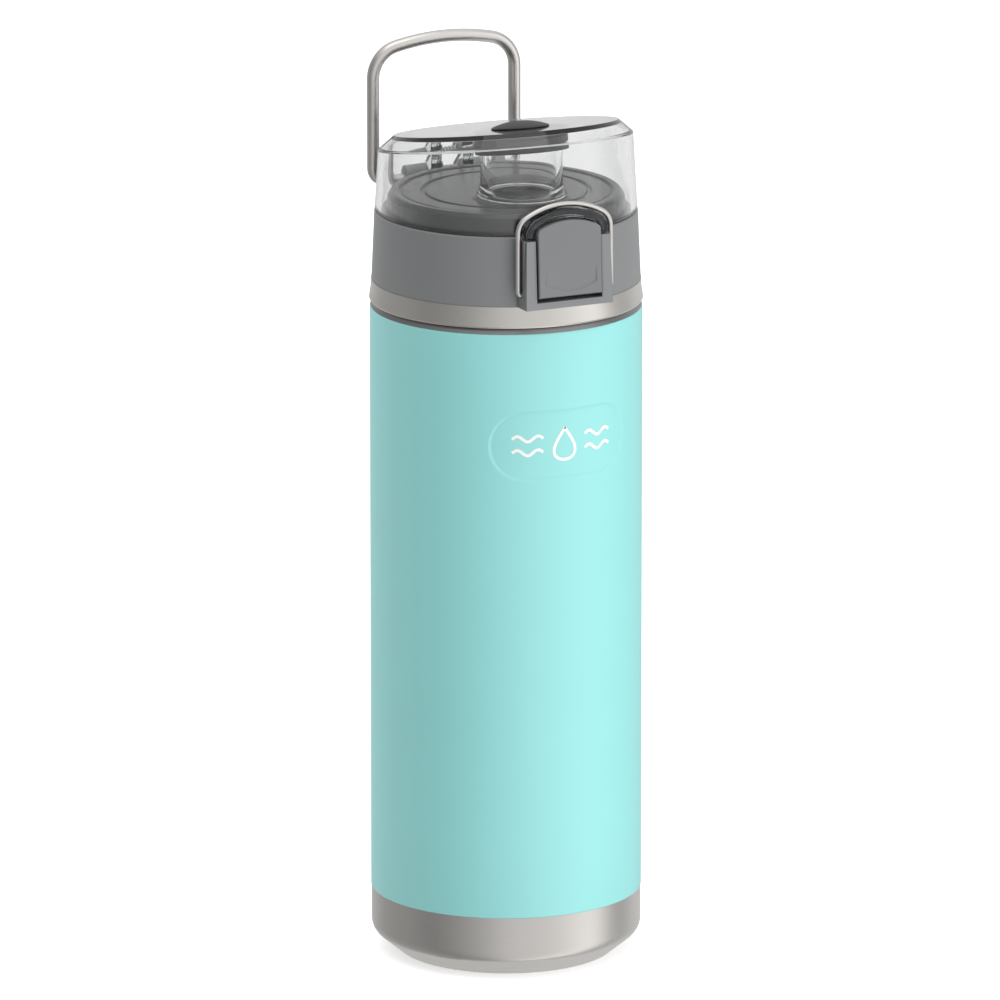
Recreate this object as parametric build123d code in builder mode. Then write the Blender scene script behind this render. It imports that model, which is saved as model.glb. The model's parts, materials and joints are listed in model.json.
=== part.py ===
"""Insulated water bottle with a push-button flip cover, a wire carry handle and a wire lock ring.

Frame: millimetres, origin at the centre of the base, +Z up, latch at -Y, hinge at +Y.
Every sub-part is modelled where it sits with the bottle closed and the handle up.
"""
import os
from math import cos, radians, sin, tan

from build123d import *

os.makedirs("parts", exist_ok=True)

# ---------------------------------------------------------------- bottle body
BODY_R = 38.5            # outside of the coat
COAT_T = 0.6
COAT_LOW_Z = 18.5
COAT_TOP_Z = 188.2
BARE_R = 38.35           # bare steel below and above the coat
FOOT_R = 30.6
FOOT_IN_R = 28.6
FOOT_LIP = 1.6
FOOT_RIM_T = 1.0         # the foot ring ends this far above the base plate's face
FOOT_EDGE = 0.4
CHAMFER_Z = 6.4
BASE_SOFT_R = 4.0        # rounding above the base chamfer
FOOT_SOFT_R = 1.5
WALL_T = 0.8             # each of the two steel walls
VACUUM_R = 37.1          # inside of the outer wall
VESSEL_R = 36.05         # outside of the inner wall
VESSEL_FLOOR_Z = 6.0
SHOULDER_Z = 189.5
SHOULDER_R = 37.5
NECK_R = 28.0
MOUTH_Z = 206.0
VESSEL_NECK_R = 26.2     # outside of the inner wall in the neck
WELD = 0.02              # welded and pressed faces stand this far apart
NECK_FLARE = 1.2         # 45 degree step where the neck leaves the shoulder
MOUTH_CHAMFER = 0.6
SHELL_CORNER = 1.0       # inside corner under the shoulder
FLOOR_RISE = 2.4         # inside of the outer wall starts this far above the base chamfer
VESSEL_FOOT = 5.0        # the vessel floor is this much smaller than its wall
VESSEL_FOOT_Z = 4.2      # height of the sloped edge round the vessel floor
VESSEL_WALL_Z = SHOULDER_Z - 7.0
VESSEL_CROWN = 2.0       # the vessel steps in by this much below its shoulder
VESSEL_CROWN_Z = SHOULDER_Z - 3.0
COAT_EDGE = 0.15         # softened lower edge of the coat
COAT_FADE_Z = 0.6        # the coat thins to the bare steel over this height

DISC_T = 0.8             # plate under the base
DIMPLE_R = 5.0
VENT_R = 1.0
RESIN_R = 3.2
RESIN_GAP = 0.1
GETTER_R = 5.0
GETTER_T = 1.4
GETTER_Y = 16.0

MARK_Z = 156.0
MARK_W = 44.0
MARK_H = 20.0
MARK_DEPTH = 0.3

# ---------------------------------------------------------------- neck thread
THREAD_LEAD = 8.0
THREAD_TURNS = 0.55
THREAD_STARTS = 2
MALE_CREST_R = 29.3
FEMALE_CREST_R = 28.5
LINER_BORE_R = 29.7
RIB_ROOT = 1.9
RIB_CREST = 1.0
MALE_RIB_Z = 195.2
FEMALE_RIB_Z = 193.4

# ---------------------------------------------------------------- lid
BAND_LOW_Z = 189.9
BAND_TOP_Z = 196.0
BAND_LOW_R = 38.7
BAND_TOP_R = 38.1
BAND_IN_R = 37.0
LID_LOW_R = 38.0
LID_TOP_R = 37.0
LID_TOP_Z = 215.8
LID_IN_R = 34.8
LID_PLATE_T = 2.2
LID_PLATE_R = 30.0
LINER_OUT_R = 31.9
LINER_LOW_Z = 191.0
LINER_PLATE_Z = 208.5
LINER_TOP_Z = 211.0
DECK_R = 33.8
DECK_Z = 221.5
DECK_T = 2.0
SPOUT_Y = -10.0
SPOUT_R = 11.5
SPOUT_BORE_R = 9.8
SPOUT_FLANGE_R = 13.6
SEAL_T = 1.2
SEAL_EASE = 0.6          # the seal's hole is this much wider than the bore
GASKET_IN_R = 25.7
GASKET_OUT_R = 28.7
GASKET_SOFT_R = 0.4
GASKET_GAP = 0.05        # gap over the mouth, so the lid can be set down
BAND_SOFT_R = 0.3
BAND_SOFT_Z = 0.5
BAND_STRAIGHT_Z = 2.4    # the band's upper part is nearly straight over this height
BAND_FIT_Z = 0.4         # the skirt stops this far above the band's lower edge
LID_SOFT_Z = 0.4
LID_SOFT_LOW_R = 0.15
LID_SOFT_R = 0.2
SPOUT_FLANGE_T = 1.6
SPOUT_BLANK = 32.0       # spout length before it is cut to the tilted rim
SPOUT_RIM_R = 0.6
DECK_EDGE = 0.6
DECK_LIP_W = 1.8
DECK_STEP = 0.4
GROOVE_R = 24.0
GROOVE_W = 1.0
GROOVE_Z = 0.9

# ---------------------------------------------------------------- cover
TILT = 10.0              # the top face rises towards the latch
COVER_T = 1.8
COVER_LOW_Z = 216.0
COVER_BLANK = 12.0       # cone height above the top face, before the tilted cut
COVER_CONE = 0.055       # radius lost per mm of height
COVER_TOP_Z = 239.1      # top face on the bottle axis
COVER_CHAMFER_FLAT = 4.4
COVER_CHAMFER_WALL = 3.9
PLUG_STEM_R = 5.0
PLUG_HEAD_R = 8.2
PLUG_HEAD_H = 2.0
PLUG_DOME_R = 31.0       # the head's top is a shallow dome
PLUG_R = 13.2
RIM_GAP = 4.65           # spout rim below the top face, square to it
PLUG_HEAD_SOFT_R = 0.5
PLUG_DEPTH = 6.6         # the plug's skirt ends this far below the top face
PLUG_BOSS_R = 9.3
PLUG_BOSS_T = 1.6
PLUG_SKIRT_IN_R = 12.25
PLUG_CUT = 6.0

# ---------------------------------------------------------------- hinge and handle
HINGE_Y = 41.0
HINGE_Z = 217.3
BARREL_R = 4.0
EAR_IN_X = 7.3
EAR_OUT_X = 15.0
EAR_ROOT_Y = 34.5
EAR_FOOT_Y = 38.2
EAR_LOW_Z = 205.0
EAR_HEEL = (44.6, 213.6)  # (y, z) where the ear's slope turns upwards
EAR_BACK = (45.0, 215.4)
PIN_BORE_X = 11.0        # the pin's bore ends here and the handle's begins
KNUCKLE_IN_X = 3.5
KNUCKLE_OUT_X = 7.0
KNUCKLE_ROOT_Y = 35.6
KNUCKLE_REACH = 2.6
KNUCKLE_RISE = 2.9
KNUCKLE_TIP_Y = 37.2
KNUCKLE_TOP_Z = 227.0
PIN_R = 1.25
PIN_END_X = 10.8
LID_RELIEF = 0.3         # room in the lid round the cover's knuckles
COVER_RELIEF = 0.4       # room in the cover round the lid's ears
KNUCKLE_EASE = 0.1       # the knuckles are this much smaller than the barrels
RUN_FIT = 0.05           # radial clearance of every turning pin
ROD_R = 1.8
HANDLE_X = 22.15
HANDLE_CORNER_R = 9.0
HANDLE_FOOT_R = 3.6
HANDLE_END_X = 11.3
HANDLE_SIDE_Z = 253.6    # where the straight sides would meet the bowed top
HANDLE_TOP_Z = 257.2

# ---------------------------------------------------------------- latch
BLOCK_BACK_Y = -30.0
CLEAR_Y = -45.0          # in front of everything, where cuts start
BLOCK_LOW_Y = -41.5
BLOCK_TOP_Y = -40.5
BLOCK_LOW_X = 13.4
BLOCK_TOP_X = 12.9
BLOCK_TOP_Z = 215.5
BLOCK_TAPER_CUT = 4.0    # width of the wedge cut off each side of the block
BLOCK_TAPER_Y = -39.8    # the wedges end here, clear of the skirt
WINDOW_X = 10.1
WINDOW_Z = 197.9
WINDOW_BACK_Y = -35.6
WINDOW_OPEN = 5.0        # the window's cut runs this far past the skirt's top
BUTTON_X = 9.75
BUTTON_LOW_Z = 199.2
BUTTON_SIDE_Z = 218.3
BUTTON_TOP_Z = 220.75
BUTTON_BACK_Y = -37.9
BUTTON_PIN_R = 0.9
BUTTON_PIN_X = 12.0
BUTTON_BORE_X = 12.1
BUTTON_CORNER_R = 2.0
BUTTON_PROUD = 0.75      # the button stands this far out of the block
BUTTON_DRAFT = 0.1       # the button's front leans this little more than the block's
CUT_ROOM = 1.0           # cutting shapes reach this far past what they cut
BUTTON_PIVOT_Y = -38.6
BUTTON_PIVOT_Z = 210.0
SMILE_X = 7.2            # raised thumb mark on the button
SMILE_W = 1.0
SMILE_Z = 206.6
SMILE_RISE = 0.4
SMILE_LOW_Z = 200.9
SMILE_T = 1.0
HOOK_X = 6.0
HOOK_TIP_Y = -36.9
HOOK_LOW_Z = 217.0
HOOK_TOP_Z = 218.6
APRON_Y = -40.0
APRON_BACK_Y = -37.4
APRON_GAP = 0.4
APRON_W = 2.6
APRON_ROOT_Y = -34.0     # the apron runs back into the cover's wall
APRON_SIDE_RISE = 1.2    # its side edges end this far above the button's
HOOK_ROOM_X = 0.3
HOOK_ROOM_Y = 0.5
HOOK_ROOM_LOW = 0.15
HOOK_ROOM_TOP = 0.4
RING_R = 0.75
RING_PIVOT_Y = -37.9
RING_PIVOT_Z = 200.0
RING_LOW_X = 14.35
RING_SIDE_X = 14.25       # clear of the block, full width behind its wedges
RING_SIDE_Z = 220.0
RING_TOP_Z = 224.7         # clear of the apron
RING_TOP_Y = -37.6
RING_END_X = 11.6
RING_BORE_X = 11.4
RING_TOP_FILLET = 5.0
RING_FOOT_FILLET = 1.0
DETENT_R = 0.8
DETENT_IN_X = 12.5
DETENT_OUT_X = 13.45      # clear of the wire beside it
DETENT_Z = 203.4

# ---------------------------------------------------------------- springs
HINGE_COIL_R = 2.3
HINGE_WIRE_R = 0.4
HINGE_COIL_PITCH = 1.1
HINGE_COIL_LENGTH = 5.5
HINGE_LEG = 4.4
BUTTON_COIL_R = 1.7
BUTTON_WIRE_R = 0.25
BUTTON_COIL_PITCH = 0.85
BUTTON_COIL_LENGTH = 3.0
BUTTON_COIL_Z = 203.6
BUTTON_COIL_GAP = 0.3    # the coil starts this far in front of the window's back
BUTTON_WELL_Y = -39.2    # bottom of the coil's well in the button
BUTTON_WELL_ROOM = 0.6
BUTTON_WELL_CUT = 3.0

TOP_NORMAL = (0, sin(radians(TILT)), cos(radians(TILT)))
PLUG_Y = SPOUT_Y + RIM_GAP * sin(radians(TILT))
PLUG_Z = COVER_TOP_Z - PLUG_Y * tan(radians(TILT))
PLUG_PLANE = Plane(origin=(0, PLUG_Y, PLUG_Z), x_dir=(1, 0, 0), z_dir=TOP_NORMAL)
HINGE_PLANE = Plane(origin=(0, HINGE_Y, HINGE_Z), x_dir=(0, 1, 0), z_dir=(1, 0, 0))
SIDES = (-1, 1)


def x_cylinder(radius, x_low, x_high, y, z):
    """A cylinder along X between two x positions."""
    plane = Plane(origin=(x_low, y, z), x_dir=(0, 1, 0), z_dir=(1, 0, 0))
    with BuildPart() as rod:
        with BuildSketch(plane):
            Circle(radius)
        extrude(amount=x_high - x_low)
    return rod.part


def x_prism(points, x_low, x_high):
    """A prism along X with a section given as (y, z) points."""
    plane = Plane(origin=(x_low, 0, 0), x_dir=(0, 1, 0), z_dir=(1, 0, 0))
    with BuildPart() as prism:
        with BuildSketch(plane):
            Polygon(*points, align=None)
        extrude(amount=x_high - x_low)
    return prism.part


def block(x_half, y_low, y_high, z_low, z_high):
    """A box centred on x = 0."""
    with BuildPart() as body:
        with BuildSketch(Plane.XY.offset(z_low)):
            with Locations((0, (y_low + y_high) / 2)):
                Rectangle(2 * x_half, y_high - y_low)
        extrude(amount=z_high - z_low)
    return body.part


def arch(y_front, y_back, x_half, z_low, z_side, z_top, corner):
    """An arched plate between two y positions: straight sides, bowed top, round corners."""
    with BuildPart() as body:
        with BuildSketch(Plane.XZ.offset(-y_front)) as outline:
            with BuildLine():
                Line((-x_half, z_low), (x_half, z_low))
                Line((x_half, z_low), (x_half, z_side))
                ThreePointArc((x_half, z_side), (0, z_top), (-x_half, z_side))
                Line((-x_half, z_side), (-x_half, z_low))
            make_face()
            fillet(outline.vertices().group_by(Axis.Y)[-1], corner)
        extrude(amount=-(y_back - y_front))
    return body.part


def thread_rib(root_r, crest_r, z_low, angle):
    """One helical rib, tapering from root to crest; crest may lie inside or outside the root."""
    with BuildPart() as rib:
        with BuildLine() as path:
            Helix(pitch=THREAD_LEAD, height=THREAD_LEAD * THREAD_TURNS, radius=root_r)
        start = Plane(origin=path.line @ 0, x_dir=(1, 0, 0), z_dir=path.line % 0)
        with BuildSketch(start):
            Polygon(
                (0, -RIB_ROOT / 2),
                (crest_r - root_r, -RIB_CREST / 2),
                (crest_r - root_r, RIB_CREST / 2),
                (0, RIB_ROOT / 2),
                align=None,
            )
        sweep(path=path.line, is_frenet=True)
    return rib.part.rotate(Axis.Z, angle).moved(Location((0, 0, z_low)))


def coil(pitch, length, radius, wire_r, leg):
    """A coil along Z starting and ending on +X; the legs run off along -Y and +Y."""
    with BuildPart() as spring:
        with BuildLine() as path:
            Helix(pitch=pitch, height=length, radius=radius)
        with BuildSketch(Plane(origin=path.line @ 0, z_dir=path.line % 0)):
            Circle(wire_r)
        sweep(path=path.line, is_frenet=True)
        if leg > 0:
            with BuildSketch(Plane(origin=(radius, 0, 0), z_dir=(0, -1, 0))):
                Circle(wire_r)
            extrude(amount=leg)
            with BuildSketch(Plane(origin=(radius, 0, length), z_dir=(0, 1, 0))):
                Circle(wire_r)
            extrude(amount=leg)
    return spring.part


# ================================================================ bottle
male_ribs = [
    thread_rib(NECK_R - 0.2, MALE_CREST_R, MALE_RIB_Z, start * 360 / THREAD_STARTS)
    for start in range(THREAD_STARTS)
]

with BuildPart() as outer_shell:
    with BuildSketch(Plane.XZ) as shell_section:
        Polygon(
            (FOOT_R, 0),
            (BARE_R, CHAMFER_Z),
            (BARE_R, COAT_LOW_Z),
            (BODY_R - COAT_T, COAT_LOW_Z),
            (BODY_R - COAT_T, COAT_TOP_Z),
            (BARE_R, COAT_TOP_Z),
            (SHOULDER_R, SHOULDER_Z),
            (NECK_R + NECK_FLARE, SHOULDER_Z),
            (NECK_R, SHOULDER_Z + NECK_FLARE),
            (NECK_R, MOUTH_Z - MOUTH_CHAMFER),
            (NECK_R - MOUTH_CHAMFER, MOUTH_Z),
            (VESSEL_NECK_R + WELD, MOUTH_Z),
            (VESSEL_NECK_R + WELD, MOUTH_Z - WALL_T),
            (NECK_R - WALL_T, MOUTH_Z - WALL_T - MOUTH_CHAMFER),
            (NECK_R - WALL_T, SHOULDER_Z - WALL_T),
            (VACUUM_R - SHELL_CORNER, SHOULDER_Z - WALL_T),
            (VACUUM_R, SHOULDER_Z - WALL_T - SHELL_CORNER),
            (VACUUM_R, CHAMFER_Z + FLOOR_RISE),
            (FOOT_R - FOOT_EDGE, FOOT_LIP + FOOT_RIM_T),
            (FOOT_IN_R, FOOT_LIP + FOOT_RIM_T),
            (FOOT_IN_R, 0),
            align=None,
        )
        base_corners = shell_section.vertices().sort_by_distance((BARE_R, CHAMFER_Z))
        fillet(base_corners[0], BASE_SOFT_R)
        foot_corners = shell_section.vertices().sort_by_distance((FOOT_R, 0))
        fillet(foot_corners[0], FOOT_SOFT_R)
    revolve(axis=Axis.Z)
    for rib in male_ribs:
        add(rib)
outer_shell.part.label = "outer_shell"
export_step(outer_shell.part, "parts/outer_shell.step")

with BuildPart() as inner_vessel:
    with BuildSketch(Plane.XZ):
        Polygon(
            (0, VESSEL_FLOOR_Z - WALL_T),
            (VESSEL_R - VESSEL_FOOT, VESSEL_FLOOR_Z - WALL_T),
            (VESSEL_R, VESSEL_FLOOR_Z + VESSEL_FOOT_Z),
            (VESSEL_R, VESSEL_WALL_Z),
            (VESSEL_R - VESSEL_CROWN, VESSEL_CROWN_Z),
            (VESSEL_NECK_R + 1.4, SHOULDER_Z - 1.8),
            (VESSEL_NECK_R, SHOULDER_Z - 0.4),
            (VESSEL_NECK_R, MOUTH_Z),
            (VESSEL_NECK_R - WALL_T, MOUTH_Z),
            (VESSEL_NECK_R - WALL_T, SHOULDER_Z - 0.7),
            (VESSEL_NECK_R + 0.9, SHOULDER_Z - 2.7),
            (VESSEL_R - WALL_T - VESSEL_CROWN + 0.1, VESSEL_CROWN_Z - WALL_T),
            (VESSEL_R - WALL_T, VESSEL_WALL_Z - 0.2),
            (VESSEL_R - WALL_T, VESSEL_FLOOR_Z + VESSEL_FOOT_Z + 0.3),
            (VESSEL_R - VESSEL_FOOT - 0.3, VESSEL_FLOOR_Z),
            (0, VESSEL_FLOOR_Z),
            align=None,
        )
    revolve(axis=Axis.Z)
inner_vessel.part.label = "inner_vessel"
export_step(inner_vessel.part, "parts/inner_vessel.step")

with BuildPart() as mark_tool:
    with BuildSketch(Plane.XZ.offset(BODY_R + 1)):
        with Locations((0, MARK_Z)):
            SlotOverall(MARK_W, MARK_H)
    extrude(amount=-BODY_R)
    with BuildSketch(Plane.XY):
        Circle(BODY_R - MARK_DEPTH)
    extrude(amount=COAT_TOP_Z, mode=Mode.SUBTRACT)

with BuildPart() as powder_coat:
    with BuildSketch(Plane.XZ):
        Polygon(
            (BODY_R - COAT_T + WELD, COAT_LOW_Z + WELD),
            (BODY_R - COAT_EDGE, COAT_LOW_Z + WELD),
            (BODY_R, COAT_LOW_Z + 2 * COAT_EDGE),
            (BODY_R, COAT_TOP_Z - COAT_FADE_Z),
            (BARE_R, COAT_TOP_Z - WELD),
            (BODY_R - COAT_T + WELD, COAT_TOP_Z - WELD),
            align=None,
        )
    revolve(axis=Axis.Z)
    add(mark_tool.part, mode=Mode.SUBTRACT)
powder_coat.part.label = "powder_coat"
export_step(powder_coat.part, "parts/powder_coat.step")

with BuildPart() as base_disc:
    with BuildSketch(Plane.XY.offset(FOOT_LIP)):
        Circle(FOOT_IN_R - WELD)
    extrude(amount=DISC_T)
    with BuildSketch(Plane.XY.offset(FOOT_LIP)):
        Circle(DIMPLE_R)
    extrude(amount=DISC_T / 2, mode=Mode.SUBTRACT)
    with BuildSketch(Plane.XY.offset(FOOT_LIP)):
        Circle(VENT_R)
    extrude(amount=DISC_T, mode=Mode.SUBTRACT)
base_disc.part.label = "base_disc"
export_step(base_disc.part, "parts/base_disc.step")

with BuildPart() as vacuum_seal:
    with BuildSketch(Plane.XY.offset(FOOT_LIP + RESIN_GAP)):
        Circle(RESIN_R)
    extrude(amount=DISC_T / 2 - RESIN_GAP - WELD)
vacuum_seal.part.label = "vacuum_seal"
export_step(vacuum_seal.part, "parts/vacuum_seal.step")

with BuildPart() as getter:
    with BuildSketch(Plane.XY.offset(FOOT_LIP + DISC_T + WELD)):
        with Locations((0, GETTER_Y)):
            Circle(GETTER_R)
    extrude(amount=GETTER_T)
getter.part.label = "getter"
export_step(getter.part, "parts/getter.step")

# ================================================================ lid, fixed parts
with BuildPart() as lid_gasket:
    with BuildSketch(Plane.XZ):
        Polygon(
            (GASKET_IN_R, MOUTH_Z + GASKET_GAP),
            (GASKET_OUT_R, MOUTH_Z + GASKET_GAP),
            (GASKET_OUT_R, LINER_PLATE_Z - WELD),
            (GASKET_IN_R, LINER_PLATE_Z - WELD),
            align=None,
        )
    revolve(axis=Axis.Z)
    fillet(lid_gasket.edges().group_by(Axis.Z)[0], GASKET_SOFT_R)
lid_gasket.part.label = "lid_gasket"
export_step(lid_gasket.part, "parts/lid_gasket.step")

with BuildPart() as trim_band:
    with BuildSketch(Plane.XZ):
        Polygon(
            (BAND_IN_R + WELD, BAND_LOW_Z),
            (BAND_LOW_R - BAND_SOFT_R, BAND_LOW_Z),
            (BAND_LOW_R, BAND_LOW_Z + BAND_SOFT_Z),
            (BAND_TOP_R + 0.1, BAND_TOP_Z - BAND_STRAIGHT_Z),
            (BAND_TOP_R, BAND_TOP_Z - WELD),
            (BAND_IN_R + WELD, BAND_TOP_Z - WELD),
            align=None,
        )
    revolve(axis=Axis.Z)
trim_band.part.label = "trim_band"
export_step(trim_band.part, "parts/trim_band.step")

latch_block = x_prism(
    [
        (BLOCK_BACK_Y, BAND_TOP_Z),
        (BLOCK_LOW_Y, BAND_TOP_Z),
        (BLOCK_TOP_Y, BLOCK_TOP_Z),
        (BLOCK_BACK_Y, BLOCK_TOP_Z),
    ],
    -BLOCK_LOW_X,
    BLOCK_LOW_X,
)
ear_section = [
    (EAR_ROOT_Y, EAR_LOW_Z),
    (EAR_FOOT_Y, EAR_LOW_Z),
    EAR_HEEL,
    EAR_BACK,
    (HINGE_Y + BARREL_R, HINGE_Z),
    (HINGE_Y - BARREL_R, HINGE_Z),
    (HINGE_Y - BARREL_R, LID_TOP_Z),
    (EAR_ROOT_Y, LID_TOP_Z),
]
ears = []
for side in SIDES:
    low_x = min(side * EAR_IN_X, side * EAR_OUT_X)
    high_x = max(side * EAR_IN_X, side * EAR_OUT_X)
    ears.append(x_prism(ear_section, low_x, high_x))
    ears.append(x_cylinder(BARREL_R, low_x, high_x, HINGE_Y, HINGE_Z))

with BuildPart() as lid_housing:
    with BuildSketch(Plane.XZ):
        Polygon(
            (0, BAND_LOW_Z + BAND_FIT_Z),
            (BAND_IN_R, BAND_LOW_Z + BAND_FIT_Z),
            (BAND_IN_R, BAND_TOP_Z),
            (LID_LOW_R, BAND_TOP_Z),
            (LID_TOP_R + LID_SOFT_LOW_R, LID_TOP_Z - LID_SOFT_Z),
            (LID_TOP_R - LID_SOFT_R, LID_TOP_Z),
            (0, LID_TOP_Z),
            align=None,
        )
    revolve(axis=Axis.Z)
    add(latch_block)
    for ear in ears:
        add(ear)
    # hollow for the neck and the liner, then the opening under the deck
    with BuildSketch(Plane.XY.offset(BAND_LOW_Z)):
        Circle(LID_IN_R)
    extrude(amount=LID_TOP_Z - LID_PLATE_T - BAND_LOW_Z, mode=Mode.SUBTRACT)
    with BuildSketch(Plane.XY.offset(BAND_LOW_Z)):
        Circle(LID_PLATE_R)
    extrude(amount=LID_TOP_Z - BAND_LOW_Z, mode=Mode.SUBTRACT)
    # the block narrows upwards
    for side in SIDES:
        with BuildSketch(Plane.XZ.offset(-CLEAR_Y)):
            Polygon(
                (side * BLOCK_LOW_X, BAND_TOP_Z),
                (side * (BLOCK_LOW_X + BLOCK_TAPER_CUT), BAND_TOP_Z),
                (side * (BLOCK_LOW_X + BLOCK_TAPER_CUT), BLOCK_TOP_Z),
                (side * BLOCK_TOP_X, BLOCK_TOP_Z),
                align=None,
            )
        extrude(amount=CLEAR_Y - BLOCK_TAPER_Y, mode=Mode.SUBTRACT)
    # window for the button, open at the top
    add(
        block(WINDOW_X, CLEAR_Y, WINDOW_BACK_Y, WINDOW_Z, LID_TOP_Z + WINDOW_OPEN),
        mode=Mode.SUBTRACT,
    )
    # relief for the cover's knuckles, bores for the pin and the handle ends
    add(
        x_cylinder(BARREL_R + LID_RELIEF, -EAR_IN_X, EAR_IN_X, HINGE_Y, HINGE_Z),
        mode=Mode.SUBTRACT,
    )
    add(
        x_cylinder(PIN_R + RUN_FIT, -PIN_BORE_X, PIN_BORE_X, HINGE_Y, HINGE_Z),
        mode=Mode.SUBTRACT,
    )
    for low_x, high_x in ((-EAR_OUT_X, -PIN_BORE_X), (PIN_BORE_X, EAR_OUT_X)):
        add(x_cylinder(ROD_R + RUN_FIT, low_x, high_x, HINGE_Y, HINGE_Z), mode=Mode.SUBTRACT)
    # bores for the button pin and the lock ring ends, small detents for the ring
    add(
        x_cylinder(
            BUTTON_PIN_R + WELD, -BUTTON_BORE_X, BUTTON_BORE_X, BUTTON_PIVOT_Y, BUTTON_PIVOT_Z
        ),
        mode=Mode.SUBTRACT,
    )
    for low_x, high_x in ((-BLOCK_LOW_X, -RING_BORE_X), (RING_BORE_X, BLOCK_LOW_X)):
        add(
            x_cylinder(RING_R + RUN_FIT, low_x, high_x, RING_PIVOT_Y, RING_PIVOT_Z),
            mode=Mode.SUBTRACT,
        )
    for low_x, high_x in ((-DETENT_OUT_X, -DETENT_IN_X), (DETENT_IN_X, DETENT_OUT_X)):
        add(x_cylinder(DETENT_R, low_x, high_x, RING_PIVOT_Y, DETENT_Z))
lid_housing.part.label = "lid_housing"
export_step(lid_housing.part, "parts/lid_housing.step")

female_ribs = [
    thread_rib(LINER_BORE_R + 0.2, FEMALE_CREST_R, FEMALE_RIB_Z, start * 360 / THREAD_STARTS)
    for start in range(THREAD_STARTS)
]

with BuildPart() as thread_liner:
    with BuildSketch(Plane.XY.offset(LINER_LOW_Z)):
        Circle(LINER_OUT_R)
    extrude(amount=LINER_TOP_Z - LINER_LOW_Z)
    with BuildSketch(Plane.XY.offset(LINER_PLATE_Z)):
        Circle(LID_IN_R - WELD)
    extrude(amount=LINER_TOP_Z - LINER_PLATE_Z)
    with BuildSketch(Plane.XY.offset(LINER_LOW_Z)):
        Circle(LINER_BORE_R)
    extrude(amount=LINER_PLATE_Z - LINER_LOW_Z, mode=Mode.SUBTRACT)
    with BuildSketch(Plane.XY.offset(LINER_PLATE_Z)):
        with Locations((0, SPOUT_Y)):
            Circle(SPOUT_BORE_R)
    extrude(amount=LINER_TOP_Z - LINER_PLATE_Z, mode=Mode.SUBTRACT)
    with BuildSketch(Plane.XY.offset(LINER_TOP_Z - SEAL_T)):
        with Locations((0, SPOUT_Y)):
            Circle(SPOUT_FLANGE_R)
    extrude(amount=SEAL_T, mode=Mode.SUBTRACT)
    for rib in female_ribs:
        add(rib)
thread_liner.part.label = "thread_liner"
export_step(thread_liner.part, "parts/thread_liner.step")

with BuildPart() as spout_seal:
    with BuildSketch(Plane.XY.offset(LINER_TOP_Z - SEAL_T + WELD)):
        with Locations((0, SPOUT_Y)):
            Circle(SPOUT_FLANGE_R - WELD)
            Circle(SPOUT_BORE_R + SEAL_EASE, mode=Mode.SUBTRACT)
    extrude(amount=SEAL_T)
spout_seal.part.label = "spout_seal"
export_step(spout_seal.part, "parts/spout_seal.step")

with BuildPart() as spout:
    with BuildSketch(Plane.XY.offset(LINER_TOP_Z + 2 * WELD)):
        with Locations((0, SPOUT_Y)):
            Circle(SPOUT_FLANGE_R)
    extrude(amount=SPOUT_FLANGE_T)
    with BuildSketch(Plane.XY.offset(LINER_TOP_Z + 2 * WELD)):
        with Locations((0, SPOUT_Y)):
            Circle(SPOUT_R)
    extrude(amount=SPOUT_BLANK)
    with BuildSketch(Plane.XY.offset(LINER_TOP_Z + 2 * WELD)):
        with Locations((0, SPOUT_Y)):
            Circle(SPOUT_BORE_R)
    extrude(amount=SPOUT_BLANK, mode=Mode.SUBTRACT)
    split(bisect_by=PLUG_PLANE.offset(-RIM_GAP), keep=Keep.BOTTOM)
    fillet(spout.faces().sort_by(Axis.Z)[-1].edges(), SPOUT_RIM_R)
spout.part.label = "spout"
export_step(spout.part, "parts/spout.step")

with BuildPart() as lid_deck:
    with BuildSketch(Plane.XZ):
        Polygon(
            (0, LID_TOP_Z + WELD),
            (DECK_R, LID_TOP_Z + WELD),
            (DECK_R, DECK_Z - DECK_EDGE),
            (DECK_R - DECK_EDGE, DECK_Z),
            (DECK_R - DECK_LIP_W, DECK_Z),
            (DECK_R - DECK_LIP_W - DECK_STEP, DECK_Z - DECK_STEP),
            (GROOVE_R + GROOVE_W / 2, DECK_Z - DECK_STEP),
            (GROOVE_R + GROOVE_W / 2, DECK_Z - GROOVE_Z),
            (GROOVE_R - GROOVE_W / 2, DECK_Z - GROOVE_Z),
            (GROOVE_R - GROOVE_W / 2, DECK_Z - DECK_STEP),
            (0, DECK_Z - DECK_STEP),
            align=None,
        )
    revolve(axis=Axis.Z)
    with BuildSketch(Plane.XY.offset(LID_TOP_Z)):
        Circle(LID_PLATE_R)
    extrude(amount=DECK_Z - DECK_T - LID_TOP_Z, mode=Mode.SUBTRACT)
    with BuildSketch(Plane.XY.offset(LID_TOP_Z)):
        with Locations((0, SPOUT_Y)):
            Circle(SPOUT_R + RUN_FIT)
    extrude(amount=DECK_Z - LID_TOP_Z, mode=Mode.SUBTRACT)
lid_deck.part.label = "lid_deck"
export_step(lid_deck.part, "parts/lid_deck.step")

with BuildPart() as hinge_pin:
    with BuildSketch(HINGE_PLANE.offset(-PIN_END_X)):
        Circle(PIN_R)
    extrude(amount=2 * PIN_END_X)
hinge_pin.part.label = "hinge_pin"
export_step(hinge_pin.part, "parts/hinge_pin.step")

coil_plane = Plane(
    origin=(-HINGE_COIL_LENGTH / 2, HINGE_Y, HINGE_Z), x_dir=(0, -1, 0), z_dir=(1, 0, 0)
)
hinge_coil = coil(HINGE_COIL_PITCH, HINGE_COIL_LENGTH, HINGE_COIL_R, HINGE_WIRE_R, HINGE_LEG)
with BuildPart() as hinge_spring:
    add(hinge_coil.moved(coil_plane.location))
hinge_spring.part.label = "hinge_spring"
export_step(hinge_spring.part, "parts/hinge_spring.step")

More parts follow.
